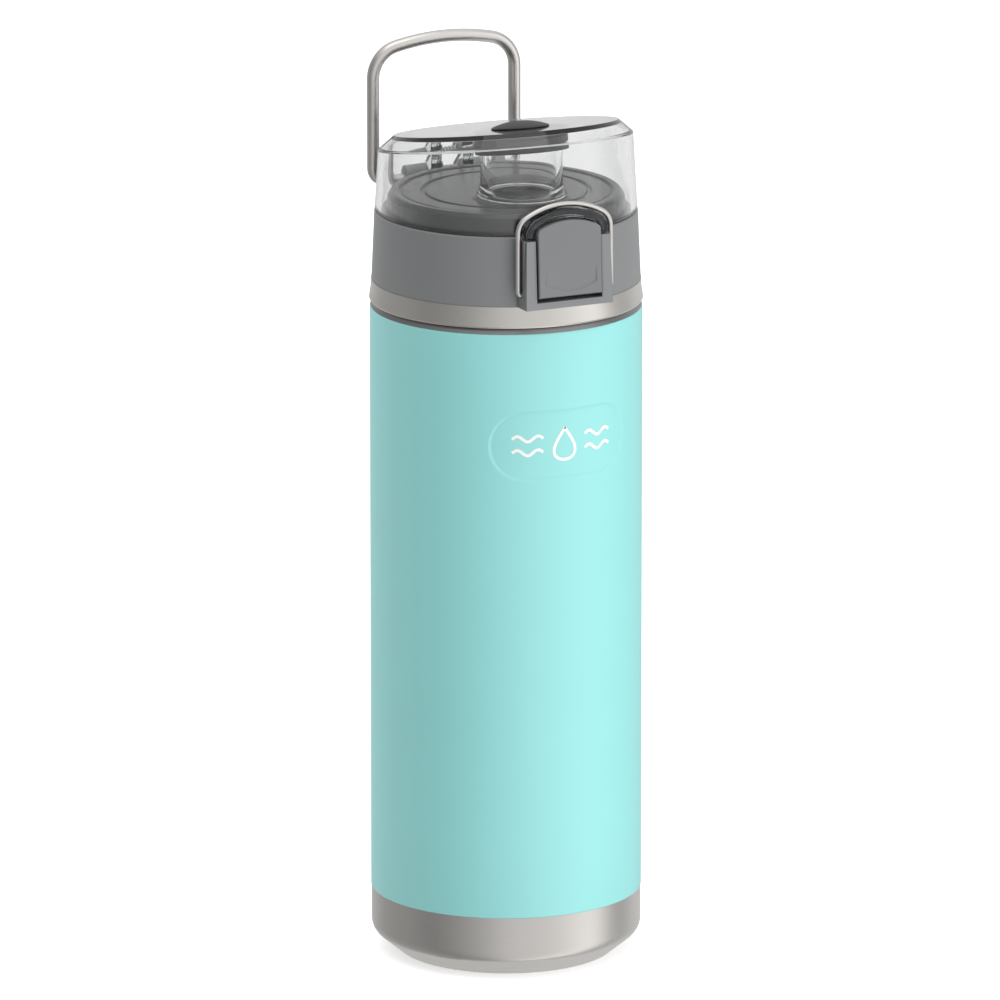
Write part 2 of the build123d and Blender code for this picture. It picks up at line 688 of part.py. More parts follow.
# ================================================================ button
with BuildPart() as button_pin:
    pin_plane = Plane(
        origin=(-BUTTON_PIN_X, BUTTON_PIVOT_Y, BUTTON_PIVOT_Z), x_dir=(0, 1, 0), z_dir=(1, 0, 0)
    )
    with BuildSketch(pin_plane):
        Circle(BUTTON_PIN_R)
    extrude(amount=2 * BUTTON_PIN_X)
button_pin.part.label = "button_pin"
export_step(button_pin.part, "parts/button_pin.step")

well_plane = Plane(
    origin=(0, WINDOW_BACK_Y - BUTTON_COIL_GAP, BUTTON_COIL_Z), x_dir=(1, 0, 0), z_dir=(0, -1, 0)
)
button_coil = coil(BUTTON_COIL_PITCH, BUTTON_COIL_LENGTH, BUTTON_COIL_R, BUTTON_WIRE_R, 0)
with BuildPart() as button_spring:
    add(button_coil.moved(well_plane.location))
button_spring.part.label = "button_spring"
export_step(button_spring.part, "parts/button_spring.step")

button_front_y = BLOCK_LOW_Y - BUTTON_PROUD
button_plate = arch(
    button_front_y, BUTTON_BACK_Y, BUTTON_X, BUTTON_LOW_Z, BUTTON_SIDE_Z, BUTTON_TOP_Z,
    BUTTON_CORNER_R,
)
front_cut = x_prism(
    [
        (button_front_y + BUTTON_DRAFT, BUTTON_LOW_Z - CUT_ROOM),
        (BLOCK_TOP_Y - BUTTON_PROUD - BUTTON_DRAFT, BUTTON_TOP_Z + CUT_ROOM),
        (button_front_y - CUT_ROOM, BUTTON_TOP_Z + CUT_ROOM),
        (button_front_y - CUT_ROOM, BUTTON_LOW_Z - CUT_ROOM),
    ],
    -BUTTON_X - CUT_ROOM,
    BUTTON_X + CUT_ROOM,
)
smile_in_x = SMILE_X - SMILE_W
smile_in_z = SMILE_Z + SMILE_RISE
with BuildPart() as smile:
    with BuildSketch(Plane.XZ.offset(-button_front_y - BUTTON_DRAFT)):
        with BuildLine():
            ThreePointArc((-SMILE_X, SMILE_Z), (0, SMILE_LOW_Z), (SMILE_X, SMILE_Z))
            Line((SMILE_X, SMILE_Z), (smile_in_x, smile_in_z))
            ThreePointArc(
                (smile_in_x, smile_in_z), (0, SMILE_LOW_Z + SMILE_W), (-smile_in_x, smile_in_z)
            )
            Line((-smile_in_x, smile_in_z), (-SMILE_X, SMILE_Z))
        make_face()
    extrude(amount=-SMILE_T)

with BuildPart() as push_button:
    add(button_plate)
    add(front_cut, mode=Mode.SUBTRACT)
    add(smile.part)
    add(block(HOOK_X, BUTTON_BACK_Y - CUT_ROOM, HOOK_TIP_Y, HOOK_LOW_Z, HOOK_TOP_Z))
    add(
        x_cylinder(
            BUTTON_PIN_R + RUN_FIT, -BUTTON_X, BUTTON_X, BUTTON_PIVOT_Y, BUTTON_PIVOT_Z
        ),
        mode=Mode.SUBTRACT,
    )
    with BuildSketch(Plane.XZ.offset(-BUTTON_WELL_Y)):
        with Locations((0, BUTTON_COIL_Z)):
            Circle(BUTTON_COIL_R + BUTTON_WELL_ROOM)
    extrude(amount=-BUTTON_WELL_CUT, mode=Mode.SUBTRACT)
push_button.part.label = "push_button"
export_step(push_button.part, "parts/push_button.step")

# ================================================================ lock ring
ring_slope = (RING_TOP_Y - RING_PIVOT_Y) / (RING_TOP_Z - RING_PIVOT_Z)
ring_plane = Plane(
    origin=(0, RING_PIVOT_Y, RING_PIVOT_Z), x_dir=(1, 0, 0), z_dir=(0, -1, ring_slope)
)
ring_side = RING_SIDE_Z - RING_PIVOT_Z
ring_top = RING_TOP_Z - RING_PIVOT_Z
with BuildPart() as lock_ring:
    with BuildLine(ring_plane) as wire_path:
        Polyline((-RING_END_X, 0), (-RING_LOW_X, 0), (-RING_SIDE_X, ring_side))
        ThreePointArc((-RING_SIDE_X, ring_side), (0, ring_top), (RING_SIDE_X, ring_side))
        Polyline((RING_SIDE_X, ring_side), (RING_LOW_X, 0), (RING_END_X, 0))
        fillet(wire_path.vertices().group_by(Axis.Z)[1], RING_TOP_FILLET)
        ring_feet = wire_path.vertices().group_by(Axis.Z)[0]
        fillet(ring_feet.filter_by(lambda v: abs(v.X) > RING_END_X + 1), RING_FOOT_FILLET)
    with BuildSketch(Plane(origin=wire_path.line @ 0, z_dir=wire_path.line % 0)):
        Circle(RING_R)
    sweep(path=wire_path.line)
lock_ring.part.label = "lock_ring"
export_step(lock_ring.part, "parts/lock_ring.step")

# ================================================================ cover
def cover_body(inset):
    """The closed shape of the cover, or of its hollow when inset by the wall."""
    top_z = COVER_TOP_Z + COVER_BLANK
    low_r = LID_TOP_R - inset
    high_r = low_r - COVER_CONE * (top_z - COVER_LOW_Z)
    with BuildPart() as body:
        with BuildSketch(Plane.XZ):
            Polygon(
                (0, COVER_LOW_Z),
                (low_r, COVER_LOW_Z),
                (high_r, top_z),
                (0, top_z),
                align=None,
            )
        revolve(axis=Axis.Z)
        split(
            bisect_by=Plane(origin=(0, 0, COVER_TOP_Z - inset), z_dir=TOP_NORMAL),
            keep=Keep.BOTTOM,
        )
        top_face = body.faces().sort_by(Axis.Z)[-1]
        chamfer(top_face.edges(), COVER_CHAMFER_FLAT, COVER_CHAMFER_WALL, reference=top_face)
    return body.part


cover_outside = cover_body(0)
cover_inside = cover_body(COVER_T)
apron_out = APRON_GAP + APRON_W
apron = arch(
    APRON_Y, APRON_ROOT_Y, BUTTON_X + apron_out, COVER_LOW_Z, BUTTON_SIDE_Z + APRON_SIDE_RISE,
    BUTTON_TOP_Z + apron_out, BUTTON_CORNER_R + apron_out,
)
button_way = arch(
    APRON_Y - CUT_ROOM, APRON_BACK_Y, BUTTON_X + APRON_GAP, COVER_LOW_Z - CUT_ROOM,
    BUTTON_SIDE_Z + APRON_GAP, BUTTON_TOP_Z + APRON_GAP, BUTTON_CORNER_R + APRON_GAP,
)
hook_slot = block(
    HOOK_X + HOOK_ROOM_X, APRON_BACK_Y - CUT_ROOM, HOOK_TIP_Y + HOOK_ROOM_Y,
    HOOK_LOW_Z - HOOK_ROOM_LOW, HOOK_TOP_Z + HOOK_ROOM_TOP,
)
knuckle_section = [
    (KNUCKLE_ROOT_Y, HINGE_Z + KNUCKLE_EASE),
    (HINGE_Y, HINGE_Z + KNUCKLE_EASE),
    (HINGE_Y + KNUCKLE_REACH, HINGE_Z + KNUCKLE_RISE),
    (KNUCKLE_TIP_Y, KNUCKLE_TOP_Z - 1.0),
    (KNUCKLE_TIP_Y - 1.0, KNUCKLE_TOP_Z),
    (KNUCKLE_ROOT_Y - 0.2, KNUCKLE_TOP_Z),
]
knuckles = []
for side in SIDES:
    low_x = min(side * KNUCKLE_IN_X, side * KNUCKLE_OUT_X)
    high_x = max(side * KNUCKLE_IN_X, side * KNUCKLE_OUT_X)
    knuckles.append(x_prism(knuckle_section, low_x, high_x))
    knuckles.append(x_cylinder(BARREL_R - KNUCKLE_EASE, low_x, high_x, HINGE_Y, HINGE_Z))

with BuildPart() as cover:
    add(cover_outside)
    add(apron)
    add(cover_inside, mode=Mode.SUBTRACT)
    add(button_way, mode=Mode.SUBTRACT)
    add(hook_slot, mode=Mode.SUBTRACT)
    add(
        x_cylinder(
            BARREL_R + COVER_RELIEF, -EAR_OUT_X - COVER_RELIEF, EAR_OUT_X + COVER_RELIEF,
            HINGE_Y, HINGE_Z,
        ),
        mode=Mode.SUBTRACT,
    )
    for knuckle in knuckles:
        add(knuckle)
    add(
        x_cylinder(PIN_R + RUN_FIT, -KNUCKLE_OUT_X, KNUCKLE_OUT_X, HINGE_Y, HINGE_Z),
        mode=Mode.SUBTRACT,
    )
    with BuildSketch(PLUG_PLANE.offset(CUT_ROOM)):
        Circle(PLUG_STEM_R + RUN_FIT)
    extrude(amount=-PLUG_CUT, mode=Mode.SUBTRACT)
cover.part.label = "cover"
export_step(cover.part, "parts/cover.step")

with BuildPart(PLUG_PLANE.offset(WELD)) as plug_head:
    Cylinder(PLUG_HEAD_R, PLUG_HEAD_H, align=(Align.CENTER, Align.CENTER, Align.MIN))
    with Locations((0, 0, PLUG_HEAD_H - PLUG_DOME_R)):
        Sphere(PLUG_DOME_R, mode=Mode.INTERSECT)
    dome_face = plug_head.faces().filter_by(GeomType.SPHERE)[0]
    fillet(dome_face.edges().filter_by(GeomType.CIRCLE), PLUG_HEAD_SOFT_R)

with BuildPart() as spout_plug:
    add(plug_head.part)
    with BuildSketch(PLUG_PLANE.offset(WELD)):
        Circle(PLUG_STEM_R)
    extrude(amount=-COVER_T - 2 * WELD)
    with BuildSketch(PLUG_PLANE.offset(-COVER_T - WELD)):
        Circle(PLUG_R)
    extrude(amount=-(PLUG_DEPTH - COVER_T - WELD))
    with BuildSketch(PLUG_PLANE.offset(-RIM_GAP + RUN_FIT)):
        Circle(PLUG_SKIRT_IN_R)
    extrude(amount=-PLUG_CUT, mode=Mode.SUBTRACT)
    with BuildSketch(PLUG_PLANE.offset(-RIM_GAP + RUN_FIT)):
        Circle(PLUG_BOSS_R)
    extrude(amount=-PLUG_BOSS_T)
spout_plug.part.label = "spout_plug"
export_step(spout_plug.part, "parts/spout_plug.step")

# ================================================================ handle
handle_plane = Plane(origin=(0, HINGE_Y, 0), x_dir=(1, 0, 0), z_dir=(0, -1, 0))
with BuildPart() as carry_handle:
    with BuildLine(handle_plane) as rod_path:
        Polyline((-HANDLE_END_X, HINGE_Z), (-HANDLE_X, HINGE_Z), (-HANDLE_X, HANDLE_SIDE_Z))
        ThreePointArc((-HANDLE_X, HANDLE_SIDE_Z), (0, HANDLE_TOP_Z), (HANDLE_X, HANDLE_SIDE_Z))
        Polyline((HANDLE_X, HANDLE_SIDE_Z), (HANDLE_X, HINGE_Z), (HANDLE_END_X, HINGE_Z))
        fillet(rod_path.vertices().group_by(Axis.Z)[-1], HANDLE_CORNER_R)
        handle_feet = rod_path.vertices().group_by(Axis.Z)[0]
        fillet(handle_feet.filter_by(lambda v: abs(v.X) > HANDLE_X - 1), HANDLE_FOOT_R)
    with BuildSketch(Plane(origin=rod_path.line @ 0, z_dir=rod_path.line % 0)):
        Circle(ROD_R)
    sweep(path=rod_path.line)
carry_handle.part.label = "carry_handle"
export_step(carry_handle.part, "parts/carry_handle.step")
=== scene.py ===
"""Looks for the insulated water bottle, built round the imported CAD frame. Metres, +Z up."""

import json
from math import atan2, cos, exp, hypot, pi, radians, sin, tan

import bmesh
import bpy
from mathutils import Matrix, Vector


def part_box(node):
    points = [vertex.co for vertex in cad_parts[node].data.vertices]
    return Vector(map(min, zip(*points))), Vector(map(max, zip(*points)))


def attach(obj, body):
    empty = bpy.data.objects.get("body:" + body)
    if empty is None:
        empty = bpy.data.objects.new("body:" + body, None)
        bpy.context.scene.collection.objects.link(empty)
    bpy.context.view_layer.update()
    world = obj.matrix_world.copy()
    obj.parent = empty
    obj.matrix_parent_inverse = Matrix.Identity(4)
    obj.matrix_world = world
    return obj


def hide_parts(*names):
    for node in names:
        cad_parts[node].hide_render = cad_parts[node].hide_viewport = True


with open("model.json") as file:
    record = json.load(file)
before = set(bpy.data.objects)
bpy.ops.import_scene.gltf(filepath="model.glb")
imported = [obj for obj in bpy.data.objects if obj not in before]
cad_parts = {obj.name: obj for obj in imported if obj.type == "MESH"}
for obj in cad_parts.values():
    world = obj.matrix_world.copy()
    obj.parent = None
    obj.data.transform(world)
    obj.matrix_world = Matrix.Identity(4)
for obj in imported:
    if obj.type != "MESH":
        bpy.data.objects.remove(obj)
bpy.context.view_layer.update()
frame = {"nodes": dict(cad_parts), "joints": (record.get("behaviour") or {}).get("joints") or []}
MM = 0.001
TURN = 2 * pi
STRAIGHT = 1e-4          # corners this close to straight, in radians, are left alone
MERGE = 1e-7             # metres: points this close become one
GAP_REACH = 0.0012       # metres: how far round a point its surroundings shade it
GAP_TONE = 0.12          # share of its colour that a fully shaded gap keeps


# ---------------------------------------------------------------- mesh helpers
def rounded(points, steps=5):
    """Rounds the corners of a closed outline. A point is (x, y) or (x, y, radius)."""
    out = []
    count = len(points)
    for i, point in enumerate(points):
        here = Vector(point[:2])
        radius = point[2] if len(point) > 2 else 0.0
        if radius <= 0:
            out.append(tuple(here))
            continue
        back = (Vector(points[i - 1][:2]) - here).normalized()
        ahead = (Vector(points[(i + 1) % count][:2]) - here).normalized()
        angle = back.angle(ahead)
        if pi - angle < STRAIGHT:
            out.append(tuple(here))
            continue
        cut = radius / tan(angle / 2)
        centre = here + (back + ahead).normalized() * (radius / sin(angle / 2))
        start = here + back * cut - centre
        end = here + ahead * cut - centre
        sweep = start.angle(end)
        for k in range(steps + 1):
            t = k / steps
            a = sin((1 - t) * sweep) / sin(sweep)
            b = sin(t * sweep) / sin(sweep)
            out.append(tuple(centre + start * a + end * b))
    return out


def mesh_piece(name, verts, faces, sharp=32.0, weighted=True):
    """A mesh object from points in millimetres."""
    mesh = bpy.data.meshes.new(name)
    mesh.from_pydata([[c * MM for c in v] for v in verts], [], faces)
    mesh.validate()
    bm = bmesh.new()
    bm.from_mesh(mesh)
    bmesh.ops.remove_doubles(bm, verts=bm.verts, dist=MERGE)
    bmesh.ops.recalc_face_normals(bm, faces=bm.faces)
    bm.to_mesh(mesh)
    bm.free()
    mesh.shade_smooth()
    mesh.set_sharp_from_angle(angle=radians(sharp))
    piece = bpy.data.objects.new(name, mesh)
    bpy.context.scene.collection.objects.link(piece)
    if weighted:
        normals = piece.modifiers.new("Normals", "WEIGHTED_NORMAL")
        normals.keep_sharp = True
    return piece


def grid_faces(rows, columns):
    """Faces of a grid of points that closes on itself both ways."""
    faces = []
    for r in range(rows):
        for c in range(columns):
            r2, c2 = (r + 1) % rows, (c + 1) % columns
            faces.append((r * columns + c, r * columns + c2, r2 * columns + c2, r2 * columns + c))
    return faces


def lathe(name, outline, segments=192, centre=(0, 0), shape=None, **keys):
    """Turns a closed (radius, z) outline about Z; shape(radius, z, angle) may move each point."""
    verts = []
    for radius, z in outline:
        for k in range(segments):
            angle = TURN * k / segments
            r, h = shape(radius, z, angle) if shape else (radius, z)
            verts.append((centre[0] + r * cos(angle), centre[1] + r * sin(angle), h))
    return mesh_piece(name, verts, grid_faces(len(outline), segments), **keys)


# ---------------------------------------------------------------- materials
def node(tree, kind, inputs=None, **settings):
    """A shader node; an input is a value, or another node's output to link from."""
    made = tree.nodes.new(kind)
    for key, value in settings.items():
        setattr(made, key, value)
    for key, value in (inputs or {}).items():
        if isinstance(value, bpy.types.NodeSocket):
            tree.links.new(value, made.inputs[key])
        else:
            made.inputs[key].default_value = value
    return made


def blank(name):
    """A new material with an empty node tree."""
    material = bpy.data.materials.new(name)
    material.use_nodes = True
    material.node_tree.nodes.clear()
    return material, material.node_tree


def stretched(tree, scale):
    """Object coordinates in metres, scaled on each axis."""
    place = node(tree, "ShaderNodeTexCoord")
    return node(tree, "ShaderNodeMapping", {"Vector": place.outputs["Object"], "Scale": scale})


def noise(tree, scale, detail=4.0, rough=0.55):
    """Noise in object space; scale is in waves per metre on each axis."""
    mapped = stretched(tree, scale)
    return node(tree, "ShaderNodeTexNoise", {
        "Vector": mapped.outputs[0], "Scale": 1.0, "Detail": detail, "Roughness": rough,
    })


def spread(tree, value, low, high):
    """Stretches the middle of a noise value over low to high."""
    return node(tree, "ShaderNodeMapRange", {
        "Value": value, "From Min": 0.3, "From Max": 0.7, "To Min": low, "To Max": high,
    }).outputs[0]


def surface(name, color, rough=(0.4, 0.5), grain=2500.0, depth=0.01, metal=0.0, shift=0.04,
            stretch=(1, 1, 1), aniso=0.0, specular=0.5, wear=60.0, painted_shade_above=None):
    """Opaque material: fine grain in bump and roughness, slow drift in colour.

    The last argument, if given, is a height in millimetres and the grey that the colour takes above it:
    painted shade.
    """
    material, tree = blank(name)
    fine = noise(tree, tuple(grain * s for s in stretch))
    slow = noise(tree, (wear,) * 3, detail=3.0)
    dark = tuple(c * (1 - shift) for c in color)
    tint = node(tree, "ShaderNodeMix", {
        "Factor": spread(tree, slow.outputs[0], 0.0, 1.0), "A": dark + (1,), "B": color + (1,),
    }, data_type="RGBA")
    tint = tint.outputs["Result"]
    # painted shade: above the given height the colour turns a flat grey
    if painted_shade_above:
        place = node(tree, "ShaderNodeTexCoord")
        up = node(tree, "ShaderNodeSeparateXYZ", {0: place.outputs["Object"]})
        over = node(tree, "ShaderNodeMath", {0: up.outputs["Z"], 1: painted_shade_above[0] * MM},
                    operation="GREATER_THAN")
        tint = node(tree, "ShaderNodeMix", {
            "Factor": over.outputs[0], "A": tint, "B": (painted_shade_above[1],) * 3 + (1,),
        }, data_type="RGBA").outputs["Result"]
    if not metal:
        # narrow gaps go dark, because little light reaches into them
        gap = node(tree, "ShaderNodeAmbientOcclusion", {"Distance": GAP_REACH}, samples=6)
        tint = node(tree, "ShaderNodeMix", {
            "Factor": gap.outputs["AO"], "A": tuple(c * GAP_TONE for c in color) + (1,), "B": tint,
        }, data_type="RGBA").outputs["Result"]
    both = node(tree, "ShaderNodeMath", {0: fine.outputs[0], 1: slow.outputs[0]},
                operation="ADD")
    half = node(tree, "ShaderNodeMath", {0: both.outputs[0], 1: 0.5}, operation="MULTIPLY")
    bump = node(tree, "ShaderNodeBump", {
        "Strength": 1.0, "Distance": depth * MM, "Height": fine.outputs[0],
    })
    inputs = {
        "Base Color": tint, "Metallic": metal,
        "Roughness": spread(tree, half.outputs[0], *rough), "Normal": bump.outputs[0],
        "Specular IOR Level": specular,
    }
    if aniso:
        inputs["Anisotropic"] = aniso
        inputs["Tangent"] = node(tree, "ShaderNodeTangent", direction_type="RADIAL",
                                 axis="Z").outputs[0]
    shader = node(tree, "ShaderNodeBsdfPrincipled", inputs)
    node(tree, "ShaderNodeOutputMaterial", {"Surface": shader.outputs[0]})
    return material


def clear(name, color, density, ior=1.49, rough=(0.0, 0.03)):
    """Tinted clear plastic: it refracts what is seen, and lets shadow and soft light straight through."""
    thin = tuple(c ** 0.25 for c in color) + (1,)
    material, tree = blank(name)
    haze = noise(tree, (90,) * 3, detail=5.0)
    ripple = noise(tree, (140,) * 3, detail=2.0)
    bump = node(tree, "ShaderNodeBump", {
        "Strength": 1.0, "Distance": 0.004 * MM, "Height": ripple.outputs[0],
    })
    glass = node(tree, "ShaderNodeBsdfPrincipled", {
        "Base Color": (1, 1, 1, 1), "Transmission Weight": 1.0, "IOR": ior,
        "Roughness": spread(tree, haze.outputs[0], *rough), "Normal": bump.outputs[0],
    })
    through = node(tree, "ShaderNodeBsdfTransparent", {"Color": thin})
    path = node(tree, "ShaderNodeLightPath")
    fade = node(tree, "ShaderNodeMath", {
        0: path.outputs["Is Shadow Ray"], 1: path.outputs["Is Diffuse Ray"],
    }, operation="MAXIMUM")
    mix = node(tree, "ShaderNodeMixShader", {
        0: fade.outputs[0], 1: glass.outputs[0], 2: through.outputs[0],
    })
    absorb = node(tree, "ShaderNodeVolumeAbsorption", {"Color": color + (1,), "Density": density})
    node(tree, "ShaderNodeOutputMaterial", {
        "Surface": mix.outputs[0], "Volume": absorb.outputs[0],
    })
    return material


MINT = surface("mint_coat", (0.285, 0.665, 0.65), rough=(0.42, 0.52), grain=3000, depth=0.009,
               shift=0.012, specular=0.42)
# bare steel: above 188 mm, on the shoulder ring under the lid and on the neck, its colour is painted dark
# grey as painted shade
STEEL = surface("bare_steel", (0.62, 0.60, 0.575), rough=(0.24, 0.36), grain=1.0, depth=0.004,
                metal=1.0, stretch=(40, 40, 9000), aniso=0.6, painted_shade_above=(188.0, 0.26))
BAND = surface("band_steel", (0.64, 0.62, 0.59), rough=(0.24, 0.36), grain=1.0, depth=0.004,
               metal=1.0, stretch=(40, 40, 9000), aniso=0.6)
VESSEL = surface("vessel_steel", (0.60, 0.60, 0.59), rough=(0.3, 0.42), grain=1.0, depth=0.004,
                 metal=1.0, stretch=(300, 300, 4000))
GREY = surface("lid_grey", (0.205, 0.211, 0.214), rough=(0.38, 0.48), grain=2600, depth=0.006)
BUTTON = surface("button_grey", (0.173, 0.179, 0.185), rough=(0.36, 0.46), grain=2600, depth=0.006)
DECK = surface("deck_grey", (0.045, 0.046, 0.047), rough=(0.16, 0.24), grain=2200, depth=0.0015)
LINER = surface("liner_plastic", (0.12, 0.122, 0.125), rough=(0.4, 0.5), grain=2200, depth=0.01)
RUBBER = surface("plug_rubber", (0.022, 0.022, 0.024), rough=(0.42, 0.55), grain=2800, depth=0.012)
GASKET = surface("seal_rubber", (0.42, 0.43, 0.44), rough=(0.55, 0.7), grain=2400, depth=0.012)
ROD = surface("rod_steel", (0.66, 0.64, 0.615), rough=(0.27, 0.33), grain=1.0, depth=0.001,
              metal=1.0, stretch=(2200, 2200, 90))
PIN = surface("pin_steel", (0.55, 0.55, 0.54), rough=(0.25, 0.35), grain=1.0, depth=0.003,
              metal=1.0, stretch=(100, 3000, 3000))
RESIN = surface("seal_resin", (0.06, 0.06, 0.06), rough=(0.3, 0.45), grain=1800)
SMOKE = clear("smoke_plastic", (0.70, 0.71, 0.72), 110.0)
CLEAR = clear("clear_plastic", (0.80, 0.82, 0.83), 70.0)

finish_of = {
    "outer_shell": STEEL, "powder_coat": MINT, "inner_vessel": VESSEL, "base_disc": STEEL,
    "vacuum_seal": RESIN, "getter": PIN, "lid_gasket": GASKET, "lid_housing": GREY,
    "trim_band": BAND, "thread_liner": LINER, "spout_seal": GASKET, "spout": CLEAR,
    "lid_deck": DECK, "hinge_pin": PIN, "hinge_spring": PIN, "button_pin": PIN,
    "button_spring": PIN, "cover": SMOKE, "spout_plug": RUBBER, "carry_handle": ROD,
    "lock_ring": ROD, "push_button": BUTTON,
}
for name, finish in finish_of.items():
    part = frame["nodes"][name]
    part.data.materials.clear()
    part.data.materials.append(finish)

# ---------------------------------------------------------------- shared sizes, millimetres
def span(name):
    """Lowest and highest corner of a CAD node in millimetres."""
    low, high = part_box(name)
    return low / MM, high / MM


def pose_point(joint):
    """A point on a joint's axis in millimetres."""
    found = [j for j in frame["joints"] if j["name"] == joint][0]
    return Vector(found["pos_m"]) / MM


TILT_ANGLE = radians(10)  # the cover's top face rises towards the latch
TILT = tan(TILT_ANGLE)
coat_low, coat_high = span("powder_coat")
BODY_R = coat_high.x
deck_low, deck_high = span("lid_deck")
cover_high = span("cover")[1]
button_low, button_high = span("push_button")
spout_low, spout_high = span("spout")
HINGE = pose_point("cover_hinge")
COVER_LOW = 216.0
COVER_R = cover_high.x
COVER_CONE = 0.055       # radius lost per millimetre of height
COVER_WALL = 1.8
COVER_TOP = 239.1        # top face on the bottle's axis
COVER_SHOULDER = 235.25  # where the wall meets the slope, on the bottle's axis
COVER_FLAT_R = 31.7      # edge of the flat top
COVER_CORNER = 0.05      # the hollow's top edge lies this far inside the outer one
COVER_DROP = 0.6         # the hollow's shoulder lies this far below the outer one
SEAM_TOP = 216.3         # the cover stops this far up, above a dark seam
SEAM_SHADE_R = 36.7            # the deck's dark lip reaching into the seam under the cover; it stands in for the seam's shade
RIM_DEPTH = 4.65         # the spout's rim below the top face, square to it
spout_y = (spout_low.y + spout_high.y) / 2
PLUG_Y = spout_y + RIM_DEPTH * sin(TILT_ANGLE)


def on_tilt(z, y):
    """Height, at y, of a face that tilts with the cover's top and is at z on the axis."""
    return z - y * TILT


def arch_points(half, low, side, top, corner, steps=8):
    """Outline (x, z) of an arched plate from its lower right, over the top, to its lower left."""
    rise = top - side
    radius = (half * half + rise * rise) / (2 * rise)
    centre = top - radius
    run = half - corner
    lift = centre + (max((radius - corner) ** 2 - run * run, 0)) ** 0.5
    reach = atan2(lift - centre, run)
    points = [(half, low)]
    for k in range(steps + 1):
        a = reach * k / steps
        points.append((run + corner * cos(a), lift + corner * sin(a)))
    bow = 3 * steps
    for k in range(1, bow):
        a = reach + (pi - 2 * reach) * k / bow
        points.append((radius * cos(a), centre + radius * sin(a)))
    return points + [(-x, z) for x, z in reversed(points[:steps + 2])]


def plate(name, outline, front, back, bevel=0.3, segments=3):
    """An (x, z) outline made solid between two y positions, with soft edges."""
    count = len(outline)
    verts = [(x, front, z) for x, z in outline] + [(x, back, z) for x, z in outline]
    faces = [tuple(range(count)), tuple(range(2 * count - 1, count - 1, -1))]
    for k in range(count):
        n = (k + 1) % count
        faces.append((k, n, count + n, count + k))
    piece = mesh_piece(name, verts, faces, weighted=False)
    soften(piece, bevel, segments)
    return piece


def soften(piece, width, segments=3):
    """Rounds every edge that turns by more than 35 degrees."""
    edge = piece.modifiers.new("Bevel", "BEVEL")
    edge.width = width * MM
    edge.segments = segments
    edge.limit_method = "ANGLE"
    edge.angle_limit = radians(35)
    edge.harden_normals = True
    normals = piece.modifiers.new("Normals", "WEIGHTED_NORMAL")
    normals.keep_sharp = True


def finish_piece(piece, material, body, *nodes):
    """Gives a piece its material, rides it on its body and hides the CAD nodes it stands for."""
    piece.data.materials.append(material)
    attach(piece, body)
    if nodes:
        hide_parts(*nodes)
    return piece


# ---------------------------------------------------------------- coat with its pressed panel
MARK_Z = 156.0
MARK_W = 44.0
MARK_H = 20.0
MARK_DEPTH = 0.3
PANEL_ROW = 0.3          # height between the coat's rows of points across the panel
PANEL_MARGIN = 1.2       # these rows run on this far past the panel
STROKE_W = 0.9
STROKE_LIFT = 0.03
DROP_SIZE = 4.6
WAVE_IN = 6.5
WAVE_OUT = 15.5
WAVE_UP = 2.0


def smooth(low, high, value):
    """Goes smoothly from 0 at low to 1 at high."""
    t = min(max((value - low) / (high - low), 0.0), 1.0)
    return t * t * (3 - 2 * t)


def panel_depth(radius, z, angle):
    """How far the coat is pressed in: a flat-bottomed capsule on the front."""
    turn = (angle + pi / 2 + pi) % TURN - pi
    along = abs(turn * BODY_R)
    edge = hypot(max(along - (MARK_W - MARK_H) / 2, 0), z - MARK_Z) - MARK_H / 2
    return MARK_DEPTH * (1 - smooth(-0.55, 0.05, edge))


def coat_shape(radius, z, angle):
    """Presses the panel into the outside of the coat only."""
    if radius < BODY_R - 0.01:
        return radius, z
    return radius - panel_depth(radius, z, angle), z


row_count = int((MARK_H + 2 * PANEL_MARGIN) / PANEL_ROW) + 1
rows = [MARK_Z + MARK_H / 2 + PANEL_MARGIN - PANEL_ROW * k for k in range(row_count)]
outer = [(BODY_R, z) for z in rows]
coat_outline = (
    [(BODY_R - 0.58, coat_high.z), (BODY_R - 0.58, coat_low.z), (BODY_R - 0.2, coat_low.z),
     (BODY_R - 0.06, coat_low.z + 0.06), (BODY_R, coat_low.z + 0.2)]
    + [(BODY_R, z) for z in (40, 60, 80, 100, 120, 135)]
    + outer[::-1]
    + [(BODY_R, 175), (BODY_R, coat_high.z - 0.9), (BODY_R - 0.07, coat_high.z - 0.3),
       (BODY_R - 0.25, coat_high.z)]
)
coat = lathe("coat", coat_outline, segments=720, shape=coat_shape, weighted=False)
finish_piece(coat, MINT, "bottle", "powder_coat")


def stroke(points, closed=False):
    """A flat painted line on the panel floor: (across, up) points bent round the body."""
    count = len(points)
    base = BODY_R - MARK_DEPTH
    top = base + STROKE_LIFT
    verts, faces = [], []
    for i, (u, v) in enumerate(points):
        before = points[i - 1] if closed or i else points[i]
        after = points[(i + 1) % count] if closed or i < count - 1 else points[i]
        along = (Vector(after) - Vector(before)).normalized()
        side = Vector((-along.y, along.x)) * STROKE_W / 2
        for radius, sign in ((base, 1), (top, 1), (top, -1), (base, -1)):
            p = Vector((u, v)) + side * sign
            angle = p.x / BODY_R - pi / 2
            verts.append((radius * cos(angle), radius * sin(angle), MARK_Z + p.y))
    for i in range(count if closed else count - 1):
        n = (i + 1) % count
        for k in range(4):
            faces.append((4 * i + k, 4 * i + (k + 1) % 4, 4 * n + (k + 1) % 4, 4 * n + k))
    if not closed:
        faces += [(0, 1, 2, 3), tuple(4 * (count - 1) + k for k in (3, 2, 1, 0))]
    return verts, faces


def joined(name, parts, **keys):
    """Several (points, faces) pairs as one mesh piece."""
    verts, faces = [], []
    for more_verts, more_faces in parts:
        start = len(verts)
        verts += more_verts
        faces += [tuple(start + i for i in face) for face in more_faces]
    return mesh_piece(name, verts, faces, **keys)


